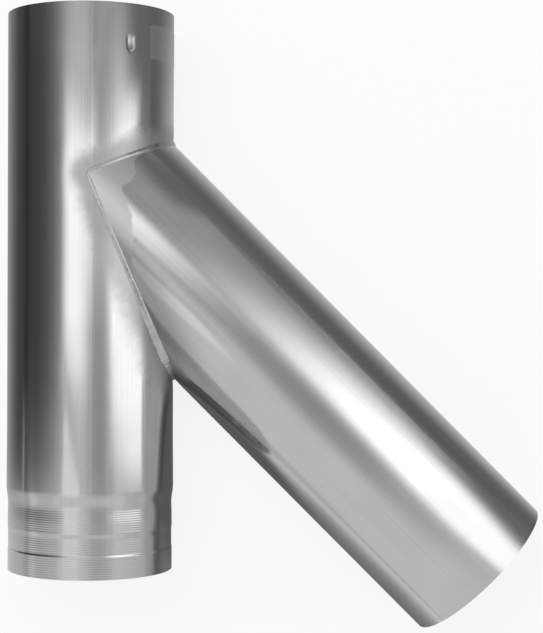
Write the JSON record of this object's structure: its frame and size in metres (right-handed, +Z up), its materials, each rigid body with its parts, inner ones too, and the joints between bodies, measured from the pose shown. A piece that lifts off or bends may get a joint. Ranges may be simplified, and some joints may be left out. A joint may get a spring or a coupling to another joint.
{
  "type": "flue branch fitting",
  "caption": "Straight round stainless flue pipe with a spigot end and a plain branch pipe of equal bore welded into its side at an angle.",
  "frame": {"origin": "centre of the open spigot end, on the main pipe's axis", "axes": "+Y along the main pipe towards its socket end, +X to the side the branch leaves from, +Z up from the surface the fitting lies on"},
  "size_m": [0.4857, 0.5578, 0.152],
  "materials": {
    "main_sheet": "bright rolled stainless steel",
    "branch_sheet": "bright rolled stainless steel",
    "weld_metal": "rippled weld bead"
  },
  "bodies": {
    "root": {"main_pipe": "main_sheet", "branch_pipe": "branch_sheet", "saddle_weld": "weld_metal"}
  },
  "joints": []
}
